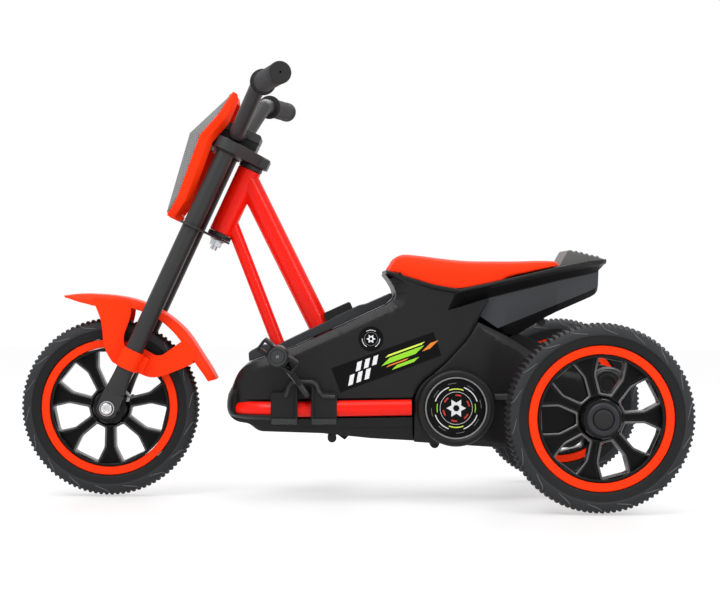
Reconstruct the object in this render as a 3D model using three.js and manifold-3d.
// Children's pedal tricycle with a raked fork, an enclosed chain drive and a moulded body.
// Millimetres. +X points to the rear, +Y to the rider's right, +Z up.
// The origin is on the ground, midway between the front and rear axles.
import * as THREE from "three";
import { mergeVertices } from "three/addons/utils/BufferGeometryUtils.js";
import Module from "manifold-3d";

const wasm = await Module();
wasm.setup();

// ---- driving dimensions ----
const CLEARANCE = 0.3; // between pieces that seat on each other
const FULL_TURN = 2 * Math.PI;

// wheels
const WHEELBASE = 670;
const TRACK = 412; // between the middles of the rear tyres
const TYRE_RADIUS = 127;
const TYRE_WIDTH = 48;
const LUG_HEIGHT = 2.6;
const TYRE_STEPS = 48; // flats round a tyre, two to a lug
const HOOP_OUTER_RADIUS = 97; // coloured hoop between tyre and spoked wheel
const HOOP_INNER_RADIUS = 85;
const HOOP_WIDTH = 40;
const RIM_WIDTH = 38;
const RIM_WALL = 3.4;
const RIM_STEPS = 28; // flats round a rim, a whole number to each spoke
const SPOKES = 7;
const SPOKE_WIDTH = 16.4;
const SPOKE_DEPTH = 22;
const GROOVE_DEPTH = 6; // along both faces of each spoke
const SPOKE_FORK_RADIUS = 64; // where a spoke splits in two
const FRONT_HUB_RADIUS = 27;
const REAR_HUB_RADIUS = 28.5;
const REAR_HUB_LENGTH = 56;
const HUB_CAP_RADIUS = 20;

// steering
const RAKE = THREE.MathUtils.degToRad(24.5); // of the steering axis, from upright
const FORK_OFFSET = 38; // fork legs ahead of the steering axis
const LEG_RADIUS = 12.7;
const LEG_SPACING = 100;
const LEG_PADDLE_WIDTH = 29; // flattened lower end
const LEG_PADDLE_THICKNESS = 10;
const FRONT_AXLE_RADIUS = 5;
const STEM_RADIUS = 8;
const STEM_THREAD_RADIUS = 5;
const STEM_NUT_HEIGHT = 10;
const LOWER_CROWN_HEIGHT = 281; // along the steering axis, from the front axle
const LOWER_CROWN_THICKNESS = 3;
const CROWN_PLATE_LOBE = 18;
const HEAD_CUP_HEIGHT = 6.5;
const CUP_SIDES = 20;
const HEAD_TUBE_RADIUS = 17;
const HEAD_TUBE_BORE = 13;
const HEAD_TUBE_LENGTH = 100;
const UPPER_CROWN_THICKNESS = 17;
const CROWN_ROOF = 4; // above the leg sockets
const CROWN_FRONT_U = -28; // of the tab that carries the number plate
const CROWN_LEG_LOBE = 19;
const CROWN_STEM_LOBE = 22;
const BAR_RADIUS = 11;
const BAR_OFFSET = 5; // handlebar tube behind the fork legs
const BAR_LOW_HALF = 72; // half the width between the lower bends
const BAR_HIGH_HALF = 138; // half the width between the upper bends
const BAR_RISE = 67;
const BAR_END_HALF = 250;
const BAR_SWEEP = 27; // of each grip's end, to the rear
const BAR_END_RISE = 15;
const BAR_BEND_RADIUS = 24;
const GRIP_LENGTH = 98;
const GRIP_RADIUS = 13.5;
const GRIP_END_WALL = 4;
const GRIP_SIDES = 12;
const GRIP_FLANGE_RADIUS = 18;
const CLAMP_LENGTH = 62; // across the crown, front to rear
const CLAMP_WIDTH = 58;
const CLAMP_HEIGHT = 25;

// number plate
const PLATE_DEPTH = 20;
const PLATE_WALL = 3;
const PLATE_FACE_THICKNESS = 2;

// front mudguard
const GUARD_RADIUS = 153; // of the blade's crest, round the front axle
const GUARD_HALF_WIDTH = 36;
const GUARD_WALL = 3;
const GUARD_STEPS = 11;
const GUARD_FRONT_ANGLE = 112; // degrees up from straight back
const GUARD_REAR_ANGLE = 15;
const COLLAR_HEIGHT = 62; // foot of the collar round a fork leg
const COLLAR_LENGTH = 28;
const COLLAR_WALL = 3.5;

// frame tubes
const DOWN_TUBE_RADIUS = 15.9;
const DOWN_TUBE_TOP = 379; // along the steering axis
const DOWN_TUBE_LEAN = THREE.MathUtils.degToRad(26.6);
const STRUT_RADIUS = 9.3;
const STRUT_TOP = 319;
const STRUT_LEAN = THREE.MathUtils.degToRad(21.4);
const RAIL_RADIUS = 11;
const RAIL_HALF_WIDTH = 90;
const RAIL_FRONT_X = -154;
const RAIL_REAR_X = 95;
const RAIL_HEIGHT = 128; // at the nose
const RAIL_RISE = 4.5; // over its length
const RAIL_BEND_RADIUS = 58;
const KEEL_RADIUS = 9.5;
const CROSS_HEIGHT = 130; // of the cross tube under the down tube
const CRADLE_HALF = 15; // half the width of the crank cradle
const LUG_THICKNESS = 5;
const BUSH_RADIUS = 8.5;

// drive
const CRANK_X = -54;
const CRANK_HEIGHT = 150;
const CRANK_THROW = 68;
const CRANK_ROD_RADIUS = 4.25;
const CRANK_ARM_Y = 113; // middle of each arm
const CRANK_ANGLE = THREE.MathUtils.degToRad(125); // of the left arm, up from straight back
const PEDAL_INNER_Y = 120;
const PEDAL_LENGTH = 75;
const PEDAL_WIDTH = 58;
const PEDAL_THICKNESS = 19.5;
const PEDAL_HUB_RADIUS = 14;
const PEDAL_WINDOW = 11; // each side of the hub, through the whole length
const PEDAL_TILT = THREE.MathUtils.degToRad(36);
const CHAIN_Y = 35;
const CHAIN_PITCH = 12.7;
const CHAIN_PLATE = 1.4;
const CRANK_TEETH = 18;
const AXLE_TEETH = 11;
const LINK_HALF_HEIGHT = 5;
const SPROCKET_THICKNESS = 3;
const REAR_AXLE_RADIUS = 6;
const SLEEVE_RADIUS = 14;

// body
const BODY_HALF_WIDTH = 88;
const BODY_SKIN = 18; // of the side panels, outside the pocket between them
const NOSE_ROUND = 65; // plan radius of the nose's corners
const BOSS_RADIUS = 21; // at the rear end of the case
const TAIL_GRIP_HALF = 45;
const BODY_EDGE = 7; // chamfer round the side panels
const SPINE_HALF_WIDTH = 24;
const CASE_HALF_WIDTH = 62; // of the rear case beside the axle
const COVER_X = 152.5;
const COVER_HEIGHT = 132.5;
const COVER_RADIUS = 54;
const COVER_DEPTH = 20;
const SEAT_HALF_WIDTH = 92;
const PAD_INSET = 5;
const BAND_INSET = 7; // of the band under the seat's lip
const TAIL_INSET = 13;
const GRIP_RIBS = 5;
const BRACKET_FACE_Y = 107;

// ---- derived places ----
const FRONT_AXLE_X = -WHEELBASE / 2;
const REAR_AXLE_X = WHEELBASE / 2;
const AXLE_HEIGHT = TYRE_RADIUS;
const HALF_LEGS = LEG_SPACING / 2;
const LOWER_CROWN_TOP = LOWER_CROWN_HEIGHT + LOWER_CROWN_THICKNESS;
const HEAD_TUBE_FOOT = LOWER_CROWN_TOP + HEAD_CUP_HEIGHT + 2 * CLEARANCE;
const HEAD_TUBE_TOP = HEAD_TUBE_FOOT + HEAD_TUBE_LENGTH;
const UPPER_CROWN_FOOT = HEAD_TUBE_TOP + HEAD_CUP_HEIGHT + 2 * CLEARANCE;
const UPPER_CROWN_TOP = UPPER_CROWN_FOOT + UPPER_CROWN_THICKNESS;
const CLAMP_FOOT = UPPER_CROWN_TOP + CLEARANCE;
const BAR_HEIGHT = CLAMP_FOOT + CLAMP_HEIGHT / 2;
const PEDAL_BORE_END = PEDAL_INNER_Y + PEDAL_LENGTH - 6; // of the crank's spindles
const CHAIN_GAP = SPROCKET_THICKNESS + 2 * CLEARANCE; // between the chain's side plates
const CLAMP_TOP = CLAMP_FOOT + CLAMP_HEIGHT;
const STEP_ANGLE = FULL_TURN / TYRE_STEPS;

// ---- materials ----
const paint = (color, roughness, metalness = 0) => () =>
  new THREE.MeshStandardMaterial({ color, roughness, metalness });
const redPaint = paint(0xe0200f, 0.25, 0.1);
const redPlastic = paint(0xf53a1e, 0.4);
const blackPlastic = paint(0x2b2b2d, 0.5);
const greyPlastic = paint(0x45474b, 0.55);
const blackPaint = paint(0x303032, 0.3, 0.2);
const rubber = paint(0x3a3b3d, 0.85);
const softPad = paint(0xff4423, 0.6);
const steel = paint(0xb8babd, 0.3, 1);

// ---- solids: join, cut and share closed geometries ----
function solidOf(geometry) {
  const bare = new THREE.BufferGeometry();
  const flat = geometry.index ? geometry.toNonIndexed() : geometry;
  bare.setAttribute("position", flat.getAttribute("position"));
  const merged = mergeVertices(bare, 1e-4);
  const corners = [];
  for (let i = 0; i < merged.index.count; i += 3) {
    const [a, b, c] = [0, 1, 2].map((k) => merged.index.getX(i + k));
    if (a !== b && b !== c && c !== a) corners.push(a, b, c);
  }
  const vertProperties = merged.getAttribute("position").array;
  const made = (triVerts) => new wasm.Manifold(new wasm.Mesh({ numProp: 3, vertProperties, triVerts }));
  const solid = made(new Uint32Array(corners));
  return solid.volume() > 0 ? solid : made(new Uint32Array(corners).reverse());
}

function geometryOf(solid) {
  const { vertProperties, triVerts } = solid.getMesh();
  const geometry = new THREE.BufferGeometry();
  geometry.setAttribute("position", new THREE.BufferAttribute(new Float32Array(vertProperties), 3));
  geometry.setIndex(new THREE.BufferAttribute(new Uint32Array(triVerts), 1));
  return geometry;
}

const combine = (operation) => (first, ...others) =>
  geometryOf(others.reduce((solid, other) => solid[operation](solidOf(other)), solidOf(first)));
const join = combine("add");
const cut = combine("subtract");
const share = combine("intersect");

function mirrored(geometry) {
  return geometryOf(solidOf(geometry.clone().scale(1, -1, 1)));
}

// ---- outlines ----
const shapeOf = (points) => new THREE.Shape(points.map(([a, b]) => new THREE.Vector2(a, b)));

// The taut outline round some circles, each [x, y, radius].
function hullShape(circles, steps = 16) {
  const cloud = circles.flatMap(([x, y, r]) =>
    Array.from({ length: steps }, (_, i) => {
      const angle = (i * FULL_TURN) / steps;
      return [x + r * Math.cos(angle), y + r * Math.sin(angle)];
    }),
  );
  cloud.sort((a, b) => a[0] - b[0] || a[1] - b[1]);
  const turn = (o, a, b) => (a[0] - o[0]) * (b[1] - o[1]) - (a[1] - o[1]) * (b[0] - o[0]);
  const chain = (points) => {
    const kept = [];
    for (const p of points) {
      while (kept.length > 1 && turn(kept.at(-2), kept.at(-1), p) <= 1e-6) kept.pop();
      kept.push(p);
    }
    return kept.slice(0, -1);
  };
  return shapeOf([...chain(cloud), ...chain([...cloud].reverse())]);
}

// A closed outline whose corners, each [x, y, radius], are rounded.
function roundedShape(corners) {
  const shape = new THREE.Shape();
  const at = (i) => new THREE.Vector2(...corners[(i + corners.length) % corners.length]);
  corners.forEach(([x, y, radius = 0], i) => {
    const corner = new THREE.Vector2(x, y);
    const towards = (other) => corner.clone().add(other.sub(corner).setLength(radius || 1e-3));
    const entry = towards(at(i - 1));
    const exit = towards(at(i + 1));
    if (i) shape.lineTo(entry.x, entry.y);
    else shape.moveTo(entry.x, entry.y);
    if (radius) shape.quadraticCurveTo(x, y, exit.x, exit.y);
  });
  shape.closePath();
  return shape;
}

// ---- extrusions and revolves ----
function extrudeZ(shape, from, to, { bevel = 0, curve = 4 } = {}) {
  const geometry = new THREE.ExtrudeGeometry(shape, {
    depth: to - from - 2 * bevel,
    bevelEnabled: bevel > 0,
    bevelThickness: bevel,
    bevelSize: bevel,
    bevelOffset: -bevel,
    bevelSegments: 1,
    curveSegments: curve,
  });
  return geometry.translate(0, 0, from + bevel);
}

// The outline's second axis becomes Z, and the extrusion runs along Y.
function extrudeY(shape, from, to, options) {
  return extrudeZ(shape, -to, -from, options).rotateX(Math.PI / 2);
}

// The outline is in Y and Z, and the extrusion runs along X.
function extrudeX(shape, from, to, options) {
  const turn = new THREE.Matrix4().makeBasis(
    new THREE.Vector3(0, 1, 0),
    new THREE.Vector3(0, 0, 1),
    new THREE.Vector3(1, 0, 0),
  );
  return extrudeZ(shape, from, to, options).applyMatrix4(turn);
}

// A turned piece: its profile, each [radius, height], closes on itself or starts and ends on the axis.
function turnedY(profile, sides = 20) {
  const points = profile.map(([r, y]) => new THREE.Vector2(r, y));
  if (profile[0][0] > 0) points.push(points[0].clone());
  return new THREE.LatheGeometry(points, sides);
}

const turnedZ = (profile, sides) => turnedY(profile, sides).rotateX(Math.PI / 2);
const rodY = (radius, from, to, sides = 16) =>
  turnedY([[0, from], [radius, from], [radius, to], [0, to]], sides);
const rodZ = (radius, from, to, sides = 16) => rodY(radius, from, to, sides).rotateX(Math.PI / 2);
const ringY = (inner, outer, from, to, sides = 20) =>
  turnedY([[inner, from], [outer, from], [outer, to], [inner, to]], sides);
const ringZ = (inner, outer, from, to, sides) => ringY(inner, outer, from, to, sides).rotateX(Math.PI / 2);

// A straight round bar between two points.
function barBetween(start, end, radius, sides = 14) {
  const along = end.clone().sub(start);
  const turn = new THREE.Quaternion().setFromUnitVectors(
    new THREE.Vector3(0, 1, 0),
    along.clone().normalize(),
  );
  return rodY(radius, 0, along.length(), sides).applyQuaternion(turn).translate(start.x, start.y, start.z);
}

// A path through some points with its corners rounded to a radius.
function bentPath(points, radius) {
  const path = new THREE.CurvePath();
  let last = points[0];
  for (let i = 1; i < points.length - 1; i += 1) {
    const [before, corner, after] = points.slice(i - 1, i + 2);
    const back = before.clone().sub(corner).normalize();
    const on = after.clone().sub(corner).normalize();
    const reach = radius * Math.tan((Math.PI - back.angleTo(on)) / 2);
    const entry = corner.clone().addScaledVector(back, reach);
    const exit = corner.clone().addScaledVector(on, reach);
    path.add(new THREE.LineCurve3(last, entry));
    path.add(new THREE.QuadraticBezierCurve3(entry, corner, exit));
    last = exit;
  }
  path.add(new THREE.LineCurve3(last, points.at(-1)));
  return path;
}

function tubeAlong(path, radius, steps, sides = 12) {
  const circle = new THREE.Shape().absarc(0, 0, radius, 0, FULL_TURN, false);
  return new THREE.ExtrudeGeometry(circle, { steps, extrudePath: path, curveSegments: sides / 2 });
}

// A skin through convex rings of points, all with the same count.
function loft(rings) {
  const corners = [];
  const push = (...points) => points.forEach((p) => corners.push(p.x, p.y, p.z));
  const middle = (ring) => ring.reduce((sum, p) => sum.add(p), new THREE.Vector3()).divideScalar(ring.length);
  const first = middle(rings[0]);
  const last = middle(rings.at(-1));
  rings[0].forEach((p, j) => {
    const k = (j + 1) % rings[0].length;
    for (let i = 1; i < rings.length; i += 1) {
      push(rings[i - 1][j], rings[i][j], rings[i][k]);
      push(rings[i - 1][j], rings[i][k], rings[i - 1][k]);
    }
    push(first, rings[0][j], rings[0][k]);
    push(last, rings.at(-1)[k], rings.at(-1)[j]);
  });
  const geometry = new THREE.BufferGeometry();
  geometry.setAttribute("position", new THREE.Float32BufferAttribute(corners, 3));
  return geometry;
}

// A bent wall: each station holds an outer and an inner line with the same number of points.
function wallThrough(stations) {
  const corners = [];
  const push = (a, b, c, d) => [a, b, c, a, c, d].forEach((p) => corners.push(p.x, p.y, p.z));
  const last = stations[0].outer.length - 1;
  for (let i = 1; i < stations.length; i += 1) {
    const [p, q] = [stations[i - 1], stations[i]];
    for (let j = 0; j < last; j += 1) {
      push(p.outer[j], q.outer[j], q.outer[j + 1], p.outer[j + 1]);
      push(p.inner[j], p.inner[j + 1], q.inner[j + 1], q.inner[j]);
    }
    push(p.outer[0], p.inner[0], q.inner[0], q.outer[0]);
    push(p.outer[last], q.outer[last], q.inner[last], p.inner[last]);
  }
  const [start, end] = [stations[0], stations.at(-1)];
  for (let j = 0; j < last; j += 1) {
    push(start.outer[j], start.outer[j + 1], start.inner[j + 1], start.inner[j]);
    push(end.outer[j], end.inner[j], end.inner[j + 1], end.outer[j + 1]);
  }
  const geometry = new THREE.BufferGeometry();
  geometry.setAttribute("position", new THREE.Float32BufferAttribute(corners, 3));
  return geometry;
}

// ---- scene graph ----
const tricycle = new THREE.Group();
tricycle.name = "childrens_tricycle";

function place(parent, name, geometry, material) {
  const bare = geometryOf(solidOf(geometry)).toNonIndexed();
  bare.computeVertexNormals();
  const mesh = new THREE.Mesh(bare, material());
  mesh.name = name;
  parent.add(mesh);
  return mesh;
}

// ---- wheels, each built about its own middle with the axle along Y ----
function tyre() {
  const bore = (HOOP_OUTER_RADIUS + CLEARANCE) / Math.cos(STEP_ANGLE / 2);
  const crest = TYRE_RADIUS / Math.cos(STEP_ANGLE / 2);
  const half = TYRE_WIDTH / 2;
  const bulge = bore + 0.55 * (crest - bore);
  const profile = [
    [bore, -half + 4],
    [bulge, -half],
    [crest - 1, -half + 5, LUG_HEIGHT],
    [crest, -half + 15],
    [crest, half - 15],
    [crest - 1, half - 5, LUG_HEIGHT],
    [bulge, half],
    [bore, half - 4],
  ];
  const corners = [];
  const at = (step, j) => {
    const [radius, y, lug = 0] = profile[j % profile.length];
    const angle = (step + 0.5) * STEP_ANGLE;
    const r = radius - (step % 4 < 2 ? 0 : lug);
    return [r * Math.cos(angle), y, r * Math.sin(angle)];
  };
  for (let step = 0; step < TYRE_STEPS; step += 1) {
    for (let j = 0; j < profile.length; j += 1) {
      const next = (step + 1) % TYRE_STEPS;
      const [a, b, c, d] = [at(step, j), at(step, j + 1), at(next, j + 1), at(next, j)];
      corners.push(...a, ...b, ...c, ...a, ...c, ...d);
    }
  }
  const geometry = new THREE.BufferGeometry();
  geometry.setAttribute("position", new THREE.Float32BufferAttribute(corners, 3));
  return geometry;
}

function hoop() {
  return ringY(HOOP_INNER_RADIUS, HOOP_OUTER_RADIUS, -HOOP_WIDTH / 2, HOOP_WIDTH / 2, RIM_STEPS);
}

// Two points for each [radius, degrees] corner, one on each side of the line at an angle.
function aboutLine(angle, corners) {
  const place = ([radius, spread]) => {
    const a = angle + THREE.MathUtils.degToRad(spread);
    return [radius * Math.cos(a), radius * Math.sin(a)];
  };
  return [...corners.map(place), ...corners.map(([r, spread]) => [r, -spread]).reverse().map(place)];
}

function spokedDisc(hubRadius, hubLength, turn) {
  const rimOuter = HOOP_INNER_RADIUS - CLEARANCE - 0.3;
  const rimInner = rimOuter - RIM_WALL;
  const spokeStep = FULL_TURN / SPOKES;
  const halfStep = THREE.MathUtils.radToDeg(spokeStep) / 2;
  const halfSpoke = (radius) => THREE.MathUtils.radToDeg(Math.asin(SPOKE_WIDTH / 2 / radius));
  const windowRoot = hubRadius + 9;
  const cuts = [];
  for (let i = 0; i < SPOKES; i += 1) {
    const spoke = turn + i * spokeStep;
    const opening = aboutLine(spoke + spokeStep / 2, [
      [windowRoot, halfStep - halfSpoke(windowRoot)],
      [SPOKE_FORK_RADIUS, halfStep - halfSpoke(SPOKE_FORK_RADIUS)],
      [rimInner, halfStep - 13.3],
    ]);
    cuts.push(extrudeY(shapeOf(opening), -SPOKE_DEPTH, SPOKE_DEPTH));
    const groove = shapeOf(aboutLine(spoke, [[hubRadius + 4, 5], [rimInner - 3, 4.5]]));
    for (const side of [-1, 1]) {
      const faceY = (side * SPOKE_DEPTH) / 2;
      cuts.push(extrudeY(groove, faceY - GROOVE_DEPTH, faceY + GROOVE_DEPTH));
    }
  }
  const plate = rodY(rimInner + 1, -SPOKE_DEPTH / 2, SPOKE_DEPTH / 2, RIM_STEPS);
  const rim = ringY(rimInner, rimOuter, -RIM_WIDTH / 2, RIM_WIDTH / 2, RIM_STEPS);
  const hub = turnedY(
    [
      [0, -hubLength / 2],
      [hubRadius - 3, -hubLength / 2],
      [hubRadius, -hubLength / 2 + 3],
      [hubRadius, hubLength / 2 - 3],
      [hubRadius - 3, hubLength / 2],
      [0, hubLength / 2],
    ],
    21,
  );
  return join(cut(plate, ...cuts), rim, hub);
}

function frontWheel() {
  const paddleInside = HALF_LEGS - LEG_PADDLE_THICKNESS / 2 - CLEARANCE;
  const neck = rodY(11, -paddleInside, paddleInside, 14);
  const bore = rodY(FRONT_AXLE_RADIUS + CLEARANCE, -paddleInside - 1, paddleInside + 1, 12);
  return cut(join(spokedDisc(FRONT_HUB_RADIUS, 42, -Math.PI / 2), neck), bore);
}

function rearWheel() {
  const bore = rodY(REAR_AXLE_RADIUS + CLEARANCE, -REAR_HUB_LENGTH, REAR_HUB_LENGTH, 12);
  return cut(spokedDisc(REAR_HUB_RADIUS, REAR_HUB_LENGTH, THREE.MathUtils.degToRad(-2)), bore);
}

function hubCap(side) {
  const face = REAR_HUB_LENGTH / 2 + CLEARANCE;
  const profile = [
    [0, face],
    [HUB_CAP_RADIUS, face],
    [HUB_CAP_RADIUS, face + 3],
    [HUB_CAP_RADIUS - 2.5, face + 5],
    [HUB_CAP_RADIUS - 5.5, face + 4],
    [HUB_CAP_RADIUS - 7, face + 6.5],
    [0, face + 6.5],
  ];
  const cap = turnedY(profile, 20);
  return side > 0 ? cap : mirrored(cap);
}

function addWheel(group, prefix, wheel, suffix = "") {
  place(group, `${prefix}_tyre${suffix}`, tyre(), rubber);
  place(group, `${prefix}_hoop${suffix}`, hoop(), redPlastic);
  place(group, `${prefix}_wheel${suffix}`, wheel, blackPlastic);
}

// ---- steering, in a frame with its origin on the front axle and Z along the steering axis ----
function rakedGroup(parent) {
  const group = new THREE.Group();
  group.position.set(FRONT_AXLE_X, 0, AXLE_HEIGHT);
  group.rotation.y = RAKE;
  parent.add(group);
  return group;
}

const alongSteering = (geometry) => geometry.translate(FORK_OFFSET, 0, 0);

function forkLeg() {
  const ring = (height, halfWidth, halfThickness) =>
    Array.from({ length: 16 }, (_, i) => {
      const angle = (i * FULL_TURN) / 16;
      return new THREE.Vector3(halfWidth * Math.cos(angle), halfThickness * Math.sin(angle), height);
    });
  const halfPaddle = LEG_PADDLE_WIDTH / 2;
  const halfThick = LEG_PADDLE_THICKNESS / 2;
  const socketTop = UPPER_CROWN_TOP - CROWN_ROOF - CLEARANCE;
  const tube = loft([
    ring(12, halfPaddle, halfThick),
    ring(32, halfPaddle - 0.6, halfThick + 3.5),
    ring(54, LEG_RADIUS, LEG_RADIUS),
    ring(socketTop, LEG_RADIUS, LEG_RADIUS),
  ]);
  const paddle = extrudeY(hullShape([[0, 0, halfPaddle], [0, 24, halfPaddle]], 20), -halfThick, halfThick);
  const axleHole = rodY(FRONT_AXLE_RADIUS + CLEARANCE, -LEG_RADIUS, LEG_RADIUS, 16);
  return cut(join(tube, paddle), axleHole);
}

function frontAxle() {
  const seat = HALF_LEGS + LEG_PADDLE_THICKNESS / 2 + CLEARANCE;
  const bolt = rodY(FRONT_AXLE_RADIUS, -seat - 1, seat + 9, 16);
  const head = turnedY([[0, -seat], [9.5, -seat], [9.5, -seat - 3], [7.5, -seat - 7.5], [0, -seat - 7.5]]);
  const socket = rodY(3.4, -seat - 8, -seat - 3.5, 6);
  return cut(join(bolt, head), socket);
}

function frontAxleNut() {
  const seat = HALF_LEGS + LEG_PADDLE_THICKNESS / 2 + CLEARANCE;
  const nut = join(rodY(9, seat, seat + 2), rodY(8.4, seat + 1, seat + 8, 6));
  return cut(nut, rodY(FRONT_AXLE_RADIUS + CLEARANCE, seat - 1, seat + 9, 16));
}

function lowerCrown() {
  const r = CROWN_PLATE_LOBE;
  const lobes = [[0, -HALF_LEGS, r], [0, HALF_LEGS, r], [FORK_OFFSET, 0, r]];
  const plate = extrudeZ(hullShape(lobes), LOWER_CROWN_HEIGHT, LOWER_CROWN_TOP);
  const legHole = () => rodZ(LEG_RADIUS + CLEARANCE, 0, LOWER_CROWN_TOP + 1);
  const stemHole = alongSteering(rodZ(STEM_THREAD_RADIUS + CLEARANCE, 0, LOWER_CROWN_TOP + 1, 16));
  return cut(plate, legHole().translate(0, HALF_LEGS, 0), legHole().translate(0, -HALF_LEGS, 0), stemHole);
}

function steeringStem() {
  const shoulder = LOWER_CROWN_TOP + CLEARANCE;
  const top = UPPER_CROWN_TOP - CROWN_ROOF - CLEARANCE;
  const foot = LOWER_CROWN_HEIGHT - STEM_NUT_HEIGHT - 6;
  const thread = STEM_THREAD_RADIUS;
  const profile = [
    [0, foot],
    [thread, foot],
    [thread, shoulder],
    [STEM_RADIUS, shoulder],
    [STEM_RADIUS, top],
    [0, top],
  ];
  return alongSteering(turnedZ(profile, CUP_SIDES));
}

function stemNut() {
  const top = LOWER_CROWN_HEIGHT - CLEARANCE;
  const nut = join(rodZ(9.8, top - STEM_NUT_HEIGHT, top - 1, 6), rodZ(11, top - 2, top, 24));
  return alongSteering(cut(nut, rodZ(STEM_THREAD_RADIUS + CLEARANCE, 0, top + 1, 16)));
}

// The flange lies between the head tube's end and a crown; the spigot sits inside the tube.
function headCup(tubeEnd, direction) {
  const inner = (STEM_RADIUS + CLEARANCE) / Math.cos(Math.PI / CUP_SIDES);
  const spigot = HEAD_TUBE_BORE - CLEARANCE;
  const from = CLEARANCE;
  const profile = [
    [inner, -9],
    [spigot, -9],
    [spigot, from],
    [HEAD_TUBE_RADIUS, from],
    [HEAD_TUBE_RADIUS - 1, from + HEAD_CUP_HEIGHT],
    [inner, from + HEAD_CUP_HEIGHT],
  ];
  return alongSteering(turnedZ(profile.map(([r, z]) => [r, tubeEnd + direction * z]), CUP_SIDES));
}

function headTube() {
  return alongSteering(ringZ(HEAD_TUBE_BORE, HEAD_TUBE_RADIUS, HEAD_TUBE_FOOT, HEAD_TUBE_TOP));
}

function upperCrown() {
  const lobes = [
    [0, -HALF_LEGS, CROWN_LEG_LOBE],
    [0, HALF_LEGS, CROWN_LEG_LOBE],
    [FORK_OFFSET, 0, CROWN_STEM_LOBE],
  ];
  const plate = extrudeZ(hullShape(lobes), UPPER_CROWN_FOOT, UPPER_CROWN_TOP, { bevel: 1.5 });
  const tab = new THREE.BoxGeometry(30, 60, UPPER_CROWN_THICKNESS - 3);
  tab.translate(CROWN_FRONT_U + 15, 0, (UPPER_CROWN_FOOT + UPPER_CROWN_TOP) / 2);
  const socketTop = UPPER_CROWN_TOP - CROWN_ROOF;
  const socket = (radius) => rodZ(radius + CLEARANCE, UPPER_CROWN_FOOT - 1, socketTop);
  const sockets = [
    socket(LEG_RADIUS).translate(0, HALF_LEGS, 0),
    socket(LEG_RADIUS).translate(0, -HALF_LEGS, 0),
    alongSteering(socket(STEM_RADIUS)),
  ];
  return cut(join(plate, tab), ...sockets);
}

function clampHalf(upper) {
  const [front, rear] = [BAR_OFFSET - CLAMP_LENGTH / 2, BAR_OFFSET + CLAMP_LENGTH / 2];
  const split = CLEARANCE / 2;
  const [low, high] = upper ? [BAR_HEIGHT + split, CLAMP_TOP] : [CLAMP_FOOT, BAR_HEIGHT - split];
  const [lowRound, highRound] = upper ? [0, 9] : [2, 0];
  const corners = [
    [front, low, lowRound],
    [rear, low, lowRound],
    [rear, high, highRound],
    [front, high, highRound],
  ];
  const block = extrudeY(roundedShape(corners), -CLAMP_WIDTH / 2, CLAMP_WIDTH / 2, { bevel: 1 });
  const bore = rodY(BAR_RADIUS + CLEARANCE, -CLAMP_WIDTH, CLAMP_WIDTH).translate(BAR_OFFSET, 0, BAR_HEIGHT);
  return cut(block, bore);
}

const barLow = (side) => new THREE.Vector3(BAR_OFFSET, side * BAR_LOW_HALF, BAR_HEIGHT);
const barHigh = (side) => new THREE.Vector3(BAR_OFFSET + 4, side * BAR_HIGH_HALF, BAR_HEIGHT + BAR_RISE);
const barEnd = (side) =>
  new THREE.Vector3(BAR_OFFSET + 4 + BAR_SWEEP, side * BAR_END_HALF, BAR_HEIGHT + BAR_RISE + BAR_END_RISE);

function handlebar() {
  const points = [barEnd(-1), barHigh(-1), barLow(-1), barLow(1), barHigh(1), barEnd(1)];
  return tubeAlong(bentPath(points, BAR_BEND_RADIUS), BAR_RADIUS, 30, 10);
}

function grip(side) {
  const end = GRIP_LENGTH - GRIP_END_WALL;
  const bore = (BAR_RADIUS + CLEARANCE) / Math.cos(Math.PI / GRIP_SIDES);
  const ribs = [10, 22].flatMap((y) => [
    [GRIP_RADIUS, y],
    [GRIP_RADIUS + 1.5, y + 1],
    [GRIP_RADIUS + 1.5, y + 2.5],
    [GRIP_RADIUS, y + 3.5],
  ]);
  const profile = [
    [0, end],
    [bore, end],
    [bore, 0],
    [GRIP_FLANGE_RADIUS, 0],
    [GRIP_FLANGE_RADIUS, 4],
    [GRIP_RADIUS, 7],
    ...ribs,
    [GRIP_RADIUS, GRIP_LENGTH - 9],
    [GRIP_RADIUS + 1.5, GRIP_LENGTH - 7],
    [GRIP_RADIUS + 1.5, GRIP_LENGTH - 1.5],
    [GRIP_RADIUS, GRIP_LENGTH],
    [0, GRIP_LENGTH],
  ];
  const along = barEnd(side).sub(barHigh(side)).normalize();
  const start = barEnd(side).addScaledVector(along, CLEARANCE - end);
  const turn = new THREE.Quaternion().setFromUnitVectors(new THREE.Vector3(0, 1, 0), along);
  return turnedY(profile, GRIP_SIDES).applyQuaternion(turn).translate(start.x, start.y, start.z);
}

// ---- number plate: a pointed nose folded along its middle, in the steering frame ----
// Ridge points are [u, height]; edge points are [u, half width, height], from the top down.
const PLATE_RIDGE = [[-29.5, 483], [-60, 404], [-42.5, 282]];
const PLATE_EDGE = [[-27, 36, 483], [-31, 60, 440], [-41, 66, 404], [-35, 48, 311], [-40, 30, 282]];

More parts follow.
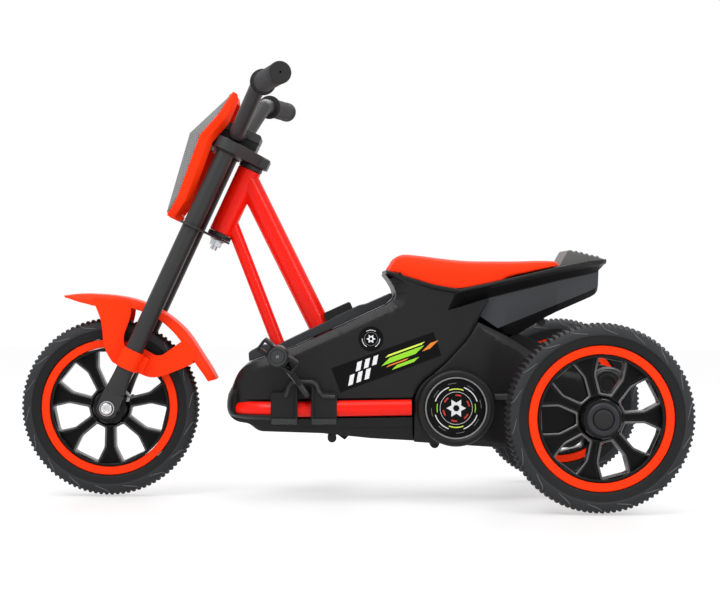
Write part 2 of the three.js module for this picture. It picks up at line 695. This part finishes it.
// The folded sheet, set forward or back by a shift and as deep as a depth.
function foldedSheet(shift, depth) {
  const sheet = (back) => {
    const at = (u, y, z) => new THREE.Vector3(u + shift + back, y, z);
    const ridge = PLATE_RIDGE.map(([u, z]) => at(u, 0, z));
    const [right, left] = [1, -1].map((side) => PLATE_EDGE.map(([u, y, z]) => at(u, side * y, z)));
    return { ridge, right, left };
  };
  const faces = ({ ridge, right, left }) =>
    [right, left].flatMap((edge, mirror) => {
      const fans = [
        [ridge[0], edge[0], edge[1]],
        [ridge[0], edge[1], ridge[1]],
        [ridge[1], edge[1], edge[2]],
        [ridge[1], edge[2], edge[3]],
        [ridge[1], edge[3], ridge[2]],
        [ridge[2], edge[3], edge[4]],
      ];
      return mirror ? fans.map((face) => [...face].reverse()) : fans;
    });
  const around = ({ ridge, right, left }) => [ridge[0], ...right, ridge[2], ...[...left].reverse()];
  const [near, far] = [sheet(0), sheet(depth)];
  const [nearRim, farRim] = [around(near), around(far)];
  const corners = [...faces(near), ...faces(far).map((face) => face.reverse())].flat();
  nearRim.forEach((p, i) => {
    const k = (i + 1) % nearRim.length;
    corners.push(p, farRim[k], nearRim[k], p, farRim[i], farRim[k]);
  });
  const geometry = new THREE.BufferGeometry();
  geometry.setAttribute("position", new THREE.Float32BufferAttribute(corners.flatMap((p) => p.toArray()), 3));
  return geometry;
}

// The plate's front view drawn in by an inset, as a block from well in front to well behind.
function plateBlock(inset) {
  const last = PLATE_EDGE.length - 1;
  const upwards = (i) => (i === last ? inset : 0) - (i === 0 ? inset : 0);
  const edge = PLATE_EDGE.map(([, y, z], i) => [y - inset, z + upwards(i)]);
  const outline = [...edge, ...[...edge].reverse().map(([y, z]) => [-y, z])];
  return extrudeX(shapeOf(outline), -200, 200);
}

function numberPlateShell() {
  const outside = foldedSheet(0, PLATE_DEPTH);
  const inside = share(foldedSheet(PLATE_WALL, PLATE_DEPTH), plateBlock(PLATE_WALL));
  const nose = PLATE_RIDGE[1][0];
  const boss = (rear, top, foot, halfWidth) => {
    const block = new THREE.BoxGeometry(rear - nose, 2 * halfWidth, top - foot);
    return block.translate((rear + nose) / 2, 0, (top + foot) / 2);
  };
  const upper = boss(CROWN_FRONT_U - CLEARANCE, UPPER_CROWN_TOP - 3, UPPER_CROWN_FOOT + 3, 14);
  const lower = boss(-CROWN_PLATE_LOBE - CLEARANCE, LOWER_CROWN_TOP + 6, LOWER_CROWN_HEIGHT - 1, 10);
  const behind = foldedSheet(PLATE_WALL - 1, 3 * PLATE_DEPTH);
  return join(cut(outside, inside), share(join(upper, lower), behind));
}

function numberPlateFace() {
  return share(foldedSheet(-CLEARANCE - PLATE_FACE_THICKNESS, PLATE_FACE_THICKNESS), plateBlock(5));
}

// ---- front mudguard: the blade is laid out about the front axle, unraked ----
const GUARD_CREST = [[0, 21], [0.19, 11.5], [0.4, 6.5], [0.66, 1.5], [0.84, -1], [1, 5]];

function guardBlade() {
  const half = GUARD_HALF_WIDTH;
  const section = [[-8, -half], [-3, -half + 3], [0, -half + 14], [0, half - 14], [-3, half - 3], [-8, half]];
  const tangentTurn = (line, angle) =>
    line.map(([r, y]) => new THREE.Vector3(r * Math.cos(angle), y, r * Math.sin(angle)));
  const swell = new THREE.SplineCurve(GUARD_CREST.map(([t, rise]) => new THREE.Vector2(t, rise)));
  const stations = Array.from({ length: GUARD_STEPS + 1 }, (_, i) => {
    const { x: t, y: rise } = swell.getPoint(i / GUARD_STEPS);
    const angle = THREE.MathUtils.degToRad(GUARD_FRONT_ANGLE + t * (GUARD_REAR_ANGLE - GUARD_FRONT_ANGLE));
    const crest = GUARD_RADIUS + rise;
    const narrow = (y) => y - Math.sign(y) * GUARD_WALL;
    return {
      outer: tangentTurn(section.map(([r, y]) => [crest + r, y]), angle),
      inner: tangentTurn(section.map(([r, y]) => [crest + r - (r < -7 ? 0 : GUARD_WALL), narrow(y)]), angle),
    };
  });
  return wallThrough(stations);
}

// The struts from the blade down to the fork leg, outlined in X and Z from the axle.
const GUARD_FRONT_STRUT = [
  [-24, 156, 0], [-8, 118, 8], [-7, 84, 8], [8, 60, 0], [27, 74, 0], [19, 98, 8], [31, 128, 8], [31, 152, 0],
];
const GUARD_REAR_STRUT = [
  [20, 74, 0], [50, 84, 6], [71, 71, 8], [108, 98, 0], [130, 80, 0],
  [118, 62, 0], [77, 45, 10], [58, 42, 8], [36, 52, 0],
];

function frontFender() {
  const half = GUARD_HALF_WIDTH;
  const struts = [-1, 1].flatMap((side) =>
    [GUARD_FRONT_STRUT, GUARD_REAR_STRUT].map((outline) => {
      const plate = extrudeY(roundedShape(outline), half - GUARD_WALL, half, { curve: 1 });
      return side > 0 ? plate : mirrored(plate);
    }),
  );
  const top = COLLAR_HEIGHT + COLLAR_LENGTH;
  const holeRadius = LEG_RADIUS + CLEARANCE;
  const legs = [-HALF_LEGS, HALF_LEGS];
  const collars = legs.map((y) => rodZ(holeRadius + COLLAR_WALL, COLLAR_HEIGHT, top).translate(0, y, 0));
  const holes = legs.map((y) => rodZ(holeRadius, COLLAR_HEIGHT - 30, top + 60).translate(0, y, 0));
  const unraked = join(guardBlade(), ...struts);
  unraked.rotateY(-RAKE);
  return cut(join(unraked, ...collars), ...holes);
}

// ---- frame tubes ----
function onSteeringAxis(height) {
  const x = FRONT_AXLE_X + FORK_OFFSET * Math.cos(RAKE) + height * Math.sin(RAKE);
  const z = AXLE_HEIGHT - FORK_OFFSET * Math.sin(RAKE) + height * Math.cos(RAKE);
  return new THREE.Vector3(x, 0, z);
}

// A point down a leaning tube, at a height above the ground.
function downTo(top, lean, height) {
  return new THREE.Vector3(top.x + (top.z - height) * Math.tan(lean), 0, height);
}

const downTubeLine = () => {
  const top = onSteeringAxis(DOWN_TUBE_TOP);
  return [top, downTo(top, DOWN_TUBE_LEAN, CROSS_HEIGHT)];
};
const strutLine = () => {
  const top = onSteeringAxis(STRUT_TOP);
  return [top, downTo(top, STRUT_LEAN, RAIL_HEIGHT)];
};
const headSpace = () => {
  const [below, above] = [HEAD_TUBE_FOOT - 40, HEAD_TUBE_TOP + 40].map(onSteeringAxis);
  return barBetween(below, above, HEAD_TUBE_RADIUS + CLEARANCE, 20);
};
const crossSpace = (extra) =>
  rodY(KEEL_RADIUS + extra, -RAIL_HALF_WIDTH, RAIL_HALF_WIDTH).translate(crossX(), 0, CROSS_HEIGHT);
const crossX = () => downTubeLine()[1].x;

function downTube(extra = 0) {
  return barBetween(...downTubeLine(), DOWN_TUBE_RADIUS + extra, 20);
}

function frontStrut(extra = 0) {
  return barBetween(...strutLine(), STRUT_RADIUS + extra, 14);
}

function keelTube(extra = 0) {
  const front = new THREE.Vector3(RAIL_FRONT_X + RAIL_RADIUS + CLEARANCE, 0, RAIL_HEIGHT);
  return barBetween(front, new THREE.Vector3(crossX(), 0, CROSS_HEIGHT), KEEL_RADIUS + extra);
}

function rail(extra = 0) {
  const rearHeight = RAIL_HEIGHT + RAIL_RISE;
  const rear = (side) => new THREE.Vector3(RAIL_REAR_X, side * RAIL_HALF_WIDTH, rearHeight);
  const nose = (side) => new THREE.Vector3(RAIL_FRONT_X, side * RAIL_HALF_WIDTH, RAIL_HEIGHT);
  const path = bentPath([rear(-1), nose(-1), nose(1), rear(1)], RAIL_BEND_RADIUS);
  return tubeAlong(path, RAIL_RADIUS + extra, 19, 10);
}

function keelFrame() {
  const reach = RAIL_HALF_WIDTH - RAIL_RADIUS - CLEARANCE;
  const cross = rodY(KEEL_RADIUS, -reach, reach).translate(crossX(), 0, CROSS_HEIGHT);
  const base = new THREE.BoxGeometry(28, 2 * CRADLE_HALF, 8).translate(CRANK_X + 2, 0, RAIL_HEIGHT - 6);
  const lug = (side) => {
    const [inner, outer] = [CRADLE_HALF - LUG_THICKNESS, CRADLE_HALF];
    const outline = hullShape([[CRANK_X, CRANK_HEIGHT, 13], [CRANK_X + 2, RAIL_HEIGHT - 4, 13]], 14);
    const plate = extrudeY(outline, inner, outer);
    return side > 0 ? plate : mirrored(plate);
  };
  const bushHole = rodY(BUSH_RADIUS + CLEARANCE, -2 * CRADLE_HALF, 2 * CRADLE_HALF);
  bushHole.translate(CRANK_X, 0, CRANK_HEIGHT);
  const weldment = join(keelTube(), cross, base, lug(1), lug(-1));
  return cut(weldment, bushHole, frontStrut(CLEARANCE), downTube(CLEARANCE));
}

function crankBush() {
  const [inner, outer] = [CRADLE_HALF - LUG_THICKNESS - 1, CRADLE_HALF + CLEARANCE];
  const bore = CRANK_ROD_RADIUS + CLEARANCE;
  const flange = BUSH_RADIUS + 3;
  const profile = [
    [bore, inner],
    [BUSH_RADIUS, inner],
    [BUSH_RADIUS, outer],
    [flange, outer],
    [flange, outer + 2],
    [bore, outer + 2],
  ];
  return turnedY(profile, 14).translate(CRANK_X, 0, CRANK_HEIGHT);
}

// ---- drive: the crank and the rear axle joined by a chain ----
const pitchRadius = (teeth) => CHAIN_PITCH / (2 * Math.sin(Math.PI / teeth));

// Built about the crank's own axis: the left arm points forward and up at rest, the right one opposite.
function crank() {
  const swing = new THREE.Vector3(Math.cos(CRANK_ANGLE), 0, Math.sin(CRANK_ANGLE)).multiplyScalar(CRANK_THROW);
  const points = [
    new THREE.Vector3(swing.x, -PEDAL_BORE_END, swing.z),
    new THREE.Vector3(swing.x, -CRANK_ARM_Y, swing.z),
    new THREE.Vector3(0, -CRANK_ARM_Y, 0),
    new THREE.Vector3(0, CRANK_ARM_Y, 0),
    new THREE.Vector3(-swing.x, CRANK_ARM_Y, -swing.z),
    new THREE.Vector3(-swing.x, PEDAL_BORE_END, -swing.z),
  ];
  const pieces = points.slice(1).map((point, i) => barBetween(points[i], point, CRANK_ROD_RADIUS, 8));
  const elbows = points.slice(1, -1).map((point) => {
    const ball = new THREE.SphereGeometry(CRANK_ROD_RADIUS, 8, 4).rotateX(Math.PI / 2);
    return ball.translate(point.x, point.y, point.z);
  });
  return join(...pieces, ...elbows);
}

function sprocket(teeth, bore) {
  const shape = new THREE.Shape();
  const radius = pitchRadius(teeth);
  for (let i = 0; i < teeth; i += 1) {
    for (const [share, reach] of [[-0.3, -3.4], [-0.16, 2.6], [0.16, 2.6], [0.3, -3.4]]) {
      const angle = ((i + share) * FULL_TURN) / teeth;
      const point = [(radius + reach) * Math.cos(angle), (radius + reach) * Math.sin(angle)];
      if (i || share > -0.3) shape.lineTo(...point);
      else shape.moveTo(...point);
    }
  }
  const half = SPROCKET_THICKNESS / 2;
  const boss = rodY(bore + 6, -half - 5, half + 5, 12);
  return cut(join(extrudeY(shape, -half, half), boss), rodY(bore + CLEARANCE, -20, 20, 12));
}

const chainLoop = (grow) => [
  [CRANK_X, CRANK_HEIGHT, pitchRadius(CRANK_TEETH) + grow],
  [REAR_AXLE_X, AXLE_HEIGHT, pitchRadius(AXLE_TEETH) + grow],
];

// The room that the chain needs inside the body and the rear case.
function chainSpace() {
  const half = CHAIN_Y + CHAIN_GAP / 2 + CHAIN_PLATE + 5;
  return extrudeY(hullShape(chainLoop(LINK_HALF_HEIGHT + 2), 14), -half, half);
}

function chain() {
  const wheels = chainLoop(0);
  const band = (grow) => hullShape(chainLoop(grow), 14);
  const halfWidth = CHAIN_GAP / 2 + CHAIN_PLATE;
  const solid = extrudeY(band(LINK_HALF_HEIGHT), -halfWidth, halfWidth);
  const middle = extrudeY(band(-LINK_HALF_HEIGHT), -halfWidth - 1, halfWidth + 1);
  const gap = extrudeY(band(2 * LINK_HALF_HEIGHT), -CHAIN_GAP / 2, CHAIN_GAP / 2);
  const [front, rear] = wheels.map(([x, z]) => new THREE.Vector2(x, z));
  const [frontRadius, rearRadius] = wheels.map(([, , r]) => r);
  const along = rear.clone().sub(front);
  const run = along.length();
  const lean = Math.asin((frontRadius - rearRadius) / run);
  const pins = [];
  for (const side of [-1, 1]) {
    const normal = along.angle() + side * (Math.PI / 2 - lean);
    const outward = new THREE.Vector2(Math.cos(normal), Math.sin(normal));
    const start = front.clone().addScaledVector(outward, frontRadius);
    const end = rear.clone().addScaledVector(outward, rearRadius);
    for (let at = 3 * CHAIN_PITCH; at < start.distanceTo(end) - 2 * CHAIN_PITCH; at += 5 * CHAIN_PITCH) {
      const pin = start.clone().add(end.clone().sub(start).setLength(at));
      pins.push(rodY(2.5, -halfWidth + 0.5, halfWidth - 0.5, 6).translate(pin.x, 0, pin.y));
    }
  }
  return join(cut(solid, middle, gap), ...pins).translate(0, CHAIN_Y, 0);
}

// Built about its own axis, its window bars level; the sweep turns the block as the rider's foot would.
function pedal() {
  const corner = 5;
  const [l, t] = [PEDAL_WIDTH / 2, PEDAL_THICKNESS / 2];
  const block = extrudeY(
    roundedShape([[-l, -t, corner], [l, -t, corner], [l, t, corner], [-l, t, corner]]),
    0,
    PEDAL_LENGTH,
    { bevel: 2 },
  );
  const hub = rodY(PEDAL_HUB_RADIUS, 0, PEDAL_LENGTH, 20);
  const bore = rodY(CRANK_ROD_RADIUS + CLEARANCE, -1, PEDAL_LENGTH - 5, 16);
  const windows = [-1, 1].map((side) => {
    const window = new THREE.BoxGeometry(PEDAL_WINDOW, 3 * PEDAL_LENGTH, PEDAL_WINDOW);
    return window.translate(side * (PEDAL_HUB_RADIUS + PEDAL_WINDOW / 2 + 1), 0, 0);
  });
  return cut(join(block, hub), bore, ...windows).translate(0, PEDAL_INNER_Y, 0);
}

function rearAxle() {
  const half = TRACK / 2 + REAR_HUB_LENGTH / 2 - 6;
  return rodY(REAR_AXLE_RADIUS, -half, half, 20);
}

function axleSleeve() {
  const [inner, outer] = [CASE_HALF_WIDTH + CLEARANCE, TRACK / 2 - REAR_HUB_LENGTH / 2 - 6];
  const foot = inner + 8;
  const bore = REAR_AXLE_RADIUS + 3 + CLEARANCE;
  const profile = [
    [bore, inner],
    [SLEEVE_RADIUS + 1.5, inner],
    [SLEEVE_RADIUS + 1.5, inner + 4],
    [SLEEVE_RADIUS, foot],
    [SLEEVE_RADIUS, outer],
    [bore, outer],
  ];
  return turnedY(profile, 16).translate(REAR_AXLE_X, 0, AXLE_HEIGHT);
}

function axleBush() {
  const outer = TRACK / 2 - REAR_HUB_LENGTH / 2 - CLEARANCE;
  const sleeveEnd = outer - 6 + 2 * CLEARANCE;
  const bore = REAR_AXLE_RADIUS + CLEARANCE;
  const profile = [
    [bore, sleeveEnd - 20],
    [bore + 2.7, sleeveEnd - 20],
    [bore + 2.7, sleeveEnd],
    [SLEEVE_RADIUS, sleeveEnd],
    [SLEEVE_RADIUS, outer],
    [bore, outer],
  ];
  return turnedY(profile, 16).translate(REAR_AXLE_X, 0, AXLE_HEIGHT);
}

// ---- body: side outlines in X and Z, each corner [x, z, radius] ----
const BODY_RIDGE = [[-136, 191], [-75, 213], [-13, 241], [56, 273]];
const NECK = [[70, 279, 9], [70, 296, 10], [55, 315, 0]]; // curls up to the front of the seat
const SEAT_REST = [[55, 314], [132, 291], [151, 290], [141, 267], [199, 284]];
const SEAM = [[183, 253, 0], [169, 228, 10], [134, 190, 14], [95, 158, 16], [95, 84, 0]];
const BODY_NOSE = [[-153, 110, 4], [-165, 117, 5], [-167, 128, 5], [-158, 162, 10], [-147, 187, 5]];
const BODY_BELLY = [[36, 88, 0], [-33, 95, 0], [-126, 97, 4], [-134, 108, 0]];
const CASE_TOP = [[184, 252, 0], [268, 206, 14], [310, 180, 12], [376, 178, 0]];
const CASE_BELLY = [[376, 136, 0], [345, 100, 0], [322, 75, 0], [228, 74, 0], [95, 84, 0]];
const SEAT_TOP = [[57, 323], [130, 301], [160, 301.5], [296, 330]];
const SEAT_TAIL = [364, 342];

const lifted = (points, by) => points.map(([x, z]) => [x, z + by]);
const backward = (points) => [...points].reverse();
const symmetric = (halves) =>
  shapeOf([...halves.map(([x, half]) => [x, -half]), ...backward(halves).map(([x, half]) => [x, half])]);

// One side of a form that is split down the middle.
function halfOf(form, side) {
  const box = new THREE.BoxGeometry(1000, 200, 600).translate(0, side * (100 + CLEARANCE / 2), 200);
  return share(form, box);
}

function bodyForm() {
  const w = BODY_HALF_WIDTH;
  const aboveSeat = [[55, 345, 0], [206, 345, 0], [199, 284, 0]];
  const outline = roundedShape([...BODY_NOSE, ...BODY_RIDGE, ...NECK, ...aboveSeat, ...SEAM, ...BODY_BELLY]);
  const side = extrudeY(outline, -w, w, { bevel: BODY_EDGE, curve: 2 });
  const plan = roundedShape([[-168, -w, NOSE_ROUND], [-168, w, NOSE_ROUND], [260, w, 0], [260, -w, 0]]);
  const above = extrudeZ(plan, 0, 400, { curve: 5 });
  const taper = [[60, 70], [76, 100], [w, 142], [w, 320]];
  const front = extrudeX(shapeOf([...taper, ...backward(taper).map(([y, z]) => [-y, z])]), -200, 260);
  const hollow = shapeOf([
    [-128, 103], [-128, 150], [-105, 178], [-60, 200], [20, 232], [90, 232], [90, 93], [36, 96], [-40, 103],
  ]);
  const pocket = extrudeY(hollow, -w + BODY_SKIN, w - BODY_SKIN);
  const seatSpace = extrudeY(shapeOf([[0, 330], ...SEAT_REST, [260, 302], [260, 400], [0, 400]]), -100, 100);
  const crankHole = rodY(CRANK_ROD_RADIUS + 1, -w - 1, w + 1, 16).translate(CRANK_X, 0, CRANK_HEIGHT);
  const tubes = [downTube(CLEARANCE), frontStrut(CLEARANCE), keelTube(CLEARANCE), crossSpace(CLEARANCE)];
  const shell = share(side, above, front);
  return cut(shell, pocket, seatSpace, chainSpace(), rail(CLEARANCE), crankHole, ...tubes);
}

function rearCaseForm() {
  const w = BODY_HALF_WIDTH - 2;
  const seam = backward(SEAM.slice(1)).map(([x, z, r]) => [x + 0.5, z, r]);
  const outline = roundedShape([...seam, ...CASE_TOP, ...CASE_BELLY.slice(0, -1)]);
  const side = extrudeY(outline, -w, w, { bevel: BODY_EDGE, curve: 2 });
  const h = CASE_HALF_WIDTH;
  const above = extrudeZ(symmetric([[90, w], [186, w], [290, h], [420, h]]), 0, 400);
  const boss = rodY(BOSS_RADIUS, -h, h, 20).translate(REAR_AXLE_X + 41, 0, AXLE_HEIGHT + 30);
  const axleHousing = rodY(31, -h, h, 20).translate(REAR_AXLE_X, 0, AXLE_HEIGHT);
  const ledge = new THREE.BoxGeometry(180, 2 * h + 8, 14).translate(300, 0, 150);
  const ledgeTrim = extrudeY(roundedShape([...seam, ...CASE_TOP, ...CASE_BELLY.slice(0, -1)]), -100, 100);
  const axleHole = rodY(REAR_AXLE_RADIUS + 1, -100, 100, 16).translate(REAR_AXLE_X, 0, AXLE_HEIGHT);
  const solid = join(share(side, above), boss, axleHousing, share(ledge, ledgeTrim));
  return cut(solid, chainSpace(), axleHole);
}

function spineCover() {
  const foot = backward(lifted(BODY_RIDGE.slice(0, -1), CLEARANCE + 0.1));
  const crest = [[-137, 208, 3], [-118, 216, 0], [-53, 241, 0], [-22, 254.5, 0], [64, 290, 3], [66, 284, 0]];
  const h = SPINE_HALF_WIDTH;
  const cover = extrudeY(roundedShape([...crest, ...foot]), -h, h, { bevel: 2.5, curve: 1 });
  return cut(cover, downTube(CLEARANCE), frontStrut(CLEARANCE));
}

const seatPlan = (inset) =>
  symmetric([
    [52 + inset, 62 - inset],
    [60 + inset, 76 - inset],
    [82 + inset, 86 - inset],
    [150, SEAT_HALF_WIDTH - inset],
    [250, SEAT_HALF_WIDTH - inset],
    [340, 80 - inset],
    [366 - inset / 2, 66 - inset],
  ]);

// A thin lip all round, a narrower band under it, and the narrower still box of the tail.
function seatBase() {
  const rest = SEAT_REST.map(([x, z]) => [x + 2 * CLEARANCE, z + CLEARANCE + 0.1]);
  const [neckEnd, hollowTop, step, foot, tailFront] = rest;
  const layer = (outline, inset) => {
    const side = extrudeY(roundedShape(outline), -SEAT_HALF_WIDTH, SEAT_HALF_WIDTH, { curve: 1 });
    return share(side, extrudeZ(seatPlan(inset), 200, 400));
  };
  const rim = [...SEAT_TOP, [...SEAT_TAIL, 3], [367, 336, 2], [360, 329, 0], [201, 294, 0]];
  const lip = [[52, 318, 2], ...rim, step, hollowTop, neckEnd];
  const band = [[156, 296], [340, 328], [346, 318], tailFront, foot, step];
  const tail = [tailFront, [190, 292], [356, 326], [356, 290, 4], [350, 283, 4], [217, 237, 6], [186, 255.5]];
  return join(layer(lip, 0), layer(band, BAND_INSET), layer(tail, TAIL_INSET));
}

function seatPad() {
  const w = SEAT_HALF_WIDTH;
  const foot = backward(lifted(SEAT_TOP, CLEARANCE + 0.1));
  const front = [[60, 330, 4], [70, 343, 5], [80, 346, 0]];
  const crest = [...front, [137, 340, 0], [171, 336.5, 0], [238, 336.5, 0], [294, 338, 3]];
  const side = extrudeY(roundedShape([...crest, ...foot]), -w, w, { curve: 2 });
  const h = w - PAD_INSET;
  const rounded = roundedShape([[-h, 290, 0], [-h, 350, 12], [h, 350, 12], [h, 290, 0]]);
  const plan = extrudeZ(seatPlan(PAD_INSET), 250, 400);
  return share(side, plan, extrudeX(rounded, 0, 400, { curve: 3 }));
}

function tailGrip() {
  const rise = (SEAT_TAIL[1] - SEAT_TOP[3][1]) / (SEAT_TAIL[0] - SEAT_TOP[3][0]);
  const foot = (x) => SEAT_TOP[3][1] + (x - SEAT_TOP[3][0]) * rise + CLEARANCE + 0.1;
  const [front, rear] = [306, 362];
  const outline = [[front, foot(front), 0], [front + 3, 353, 4], [rear - 1, 347, 0], [rear, foot(rear), 0]];
  const block = extrudeY(roundedShape(outline), -TAIL_GRIP_HALF, TAIL_GRIP_HALF, { bevel: 1, curve: 1 });
  const grooves = Array.from({ length: GRIP_RIBS - 1 }, (_, i) => {
    const x = front + ((i + 1) * (rear - front)) / GRIP_RIBS;
    return new THREE.BoxGeometry(3, 2 * TAIL_GRIP_HALF - 16, 6).translate(x, 0, 353);
  });
  return cut(block, ...grooves);
}

function sideDisc() {
  const from = BODY_HALF_WIDTH - 2 + CLEARANCE;
  const r = COVER_RADIUS;
  const profile = [
    [0, from],
    [r - 4, from],
    [r, from + 4],
    [r, from + COVER_DEPTH - 4],
    [r - 3, from + COVER_DEPTH],
    [r - 8, from + COVER_DEPTH],
    [r - 11, from + COVER_DEPTH - 5],
    [r - 15, from + COVER_DEPTH - 5],
    [r - 17, from + COVER_DEPTH - 1],
    [0, from + COVER_DEPTH - 3],
  ];
  return turnedY(profile, 24).translate(COVER_X, 0, COVER_HEIGHT);
}

// The bracket clips over the side rail, and the crank's axle turns in its open slot.
function crankBracket() {
  const from = BODY_HALF_WIDTH + CLEARANCE;
  const slot = [[-48.5, 100, 0], [-48.5, 158, 5], [-67, 158, 5], [-67, 100, 0]];
  const outline = roundedShape([
    [-104, 109, 5], [-104, 153, 6], [-86, 153, 6], [-79, 171, 6],
    [-39, 171, 6], [-33, 153, 6], [-12.5, 153, 6], [-12.5, 109, 5],
  ]);
  const block = extrudeY(outline, from, BRACKET_FACE_Y, { bevel: 1.5, curve: 2 });
  return cut(block, extrudeY(roundedShape(slot), 0, 200, { curve: 1 }), rail(CLEARANCE));
}

// ---- assembly ----
const SIDES = [[-1, "left"], [1, "right"]];
const sided = (geometry, side) => (side > 0 ? geometry : mirrored(geometry));

function groupAt(parent, x, y, z) {
  const group = new THREE.Group();
  group.position.set(x, y, z);
  parent.add(group);
  return group;
}

function addFrame() {
  const raked = rakedGroup(tricycle);
  place(raked, "head_tube", headTube(), redPaint);
  place(raked, "head_cup_upper", headCup(HEAD_TUBE_TOP, 1), blackPaint);
  place(raked, "head_cup_lower", headCup(HEAD_TUBE_FOOT, -1), blackPaint);
  place(tricycle, "down_tube", cut(downTube(), headSpace(), crossSpace(CLEARANCE)), redPaint);
  place(tricycle, "front_strut", cut(frontStrut(), headSpace(), keelTube(CLEARANCE)), redPaint);
  place(tricycle, "side_rail", rail(), redPaint);
  place(tricycle, "keel_frame", keelFrame(), blackPaint);
}

function addSteering() {
  const steering = rakedGroup(tricycle);
  for (const [side, word] of SIDES) {
    place(steering, `fork_leg_${word}`, forkLeg(), blackPaint).position.y = side * HALF_LEGS;
    place(steering, `grip_${word}`, grip(side), rubber);
  }
  place(steering, "front_axle", frontAxle(), steel);
  place(steering, "front_axle_nut", frontAxleNut(), steel);
  place(steering, "lower_crown", lowerCrown(), steel);
  place(steering, "steering_stem", steeringStem(), steel);
  place(steering, "stem_nut", stemNut(), steel);
  place(steering, "upper_crown", upperCrown(), blackPlastic);
  place(steering, "handlebar_clamp_base", clampHalf(false), blackPlastic);
  place(steering, "handlebar_clamp_cap", clampHalf(true), blackPlastic);
  place(steering, "handlebar", handlebar(), blackPaint);
  place(steering, "number_plate_shell", numberPlateShell(), redPlastic);
  place(steering, "number_plate_face", numberPlateFace(), greyPlastic);
  place(steering, "front_fender", frontFender(), redPlastic);
}

function addWheels() {
  addWheel(groupAt(tricycle, FRONT_AXLE_X, 0, AXLE_HEIGHT), "front", frontWheel());
  const axle = groupAt(tricycle, REAR_AXLE_X, 0, AXLE_HEIGHT);
  place(axle, "rear_axle", rearAxle(), steel);
  place(axle, "rear_sprocket", sprocket(AXLE_TEETH, REAR_AXLE_RADIUS), steel).position.y = CHAIN_Y;
  for (const [side, word] of SIDES) {
    const wheel = groupAt(axle, 0, (side * TRACK) / 2, 0);
    addWheel(wheel, "rear", rearWheel(), `_${word}`);
    place(wheel, `hub_cap_${word}`, hubCap(side), blackPlastic);
    place(tricycle, `axle_sleeve_${word}`, sided(axleSleeve(), side), blackPaint);
    place(tricycle, `axle_bush_${word}`, sided(axleBush(), side), blackPlastic);
  }
}

function addDrive() {
  const shaft = groupAt(tricycle, CRANK_X, 0, CRANK_HEIGHT);
  place(shaft, "crank", crank(), blackPaint);
  place(shaft, "crank_sprocket", sprocket(CRANK_TEETH, CRANK_ROD_RADIUS), steel).position.y = CHAIN_Y;
  place(tricycle, "chain", chain(), steel);
  for (const [side, word] of SIDES) {
    const x = -side * CRANK_THROW * Math.cos(CRANK_ANGLE);
    const z = -side * CRANK_THROW * Math.sin(CRANK_ANGLE);
    const spindle = groupAt(shaft, x, 0, z);
    spindle.rotation.y = PEDAL_TILT;
    place(spindle, `pedal_${word}`, sided(pedal(), side), blackPlastic);
    place(tricycle, `crank_bush_${word}`, sided(crankBush(), side), greyPlastic);
    place(tricycle, `crank_bracket_${word}`, sided(crankBracket(), side), blackPlastic);
  }
}

function addBody() {
  const [body, rearCase] = [bodyForm(), rearCaseForm()];
  for (const [side, word] of SIDES) {
    place(tricycle, `body_${word}`, halfOf(body, side), blackPlastic);
    place(tricycle, `rear_case_${word}`, halfOf(rearCase, side), blackPlastic);
    place(tricycle, `side_disc_${word}`, sided(sideDisc(), side), blackPlastic);
  }
  place(tricycle, "spine_cover", spineCover(), greyPlastic);
  place(tricycle, "seat_base", seatBase(), blackPlastic);
  place(tricycle, "seat_pad", seatPad(), softPad);
  place(tricycle, "tail_grip", tailGrip(), greyPlastic);
}

addFrame();
addSteering();
addWheels();
addDrive();
addBody();

export default tricycle;
